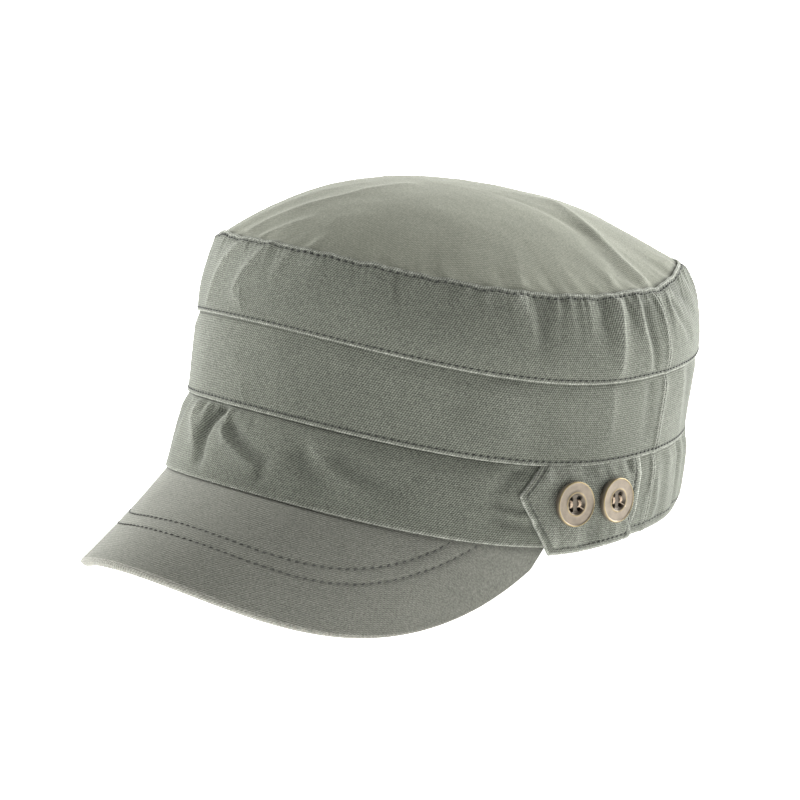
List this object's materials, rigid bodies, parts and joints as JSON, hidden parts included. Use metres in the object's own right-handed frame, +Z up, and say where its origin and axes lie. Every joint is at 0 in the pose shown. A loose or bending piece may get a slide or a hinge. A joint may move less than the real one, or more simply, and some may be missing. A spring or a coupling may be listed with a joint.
{
  "type": "patrol cap",
  "caption": "Patrol cap in washed twill with a banded wall, domed top, short curved peak and a buttoned side tab; open and hollow below.",
  "frame": {"origin": "middle of the cap's outline, on the surface that the cap rests on", "axes": "+Z up; -Y the front, where the peak is; +X the wearer's left, where the tab and buttons are. The cap leans back by about 8 degrees, as it rests on its peak and the back of its rim"},
  "size_m": [0.1806, 0.2588, 0.1302],
  "materials": {
    "washed_twill": "washed cotton twill, matt, paler along the sewn edges",
    "peak_twill": "washed cotton twill over a stiff insert, matt, with two rows of stitching",
    "antique_brass": "antiqued brass plate, satin, brighter on its raised rims"
  },
  "bodies": {
    "root": {"crown_top": "washed_twill", "upper_band_front": "washed_twill", "upper_band_back": "washed_twill", "middle_band_front": "washed_twill", "middle_band_back": "washed_twill", "lower_band_front": "washed_twill", "lower_band_back": "washed_twill", "peak": "peak_twill", "side_tab": "washed_twill", "button_front": "antique_brass", "button_back": "antique_brass"}
  },
  "joints": []
}
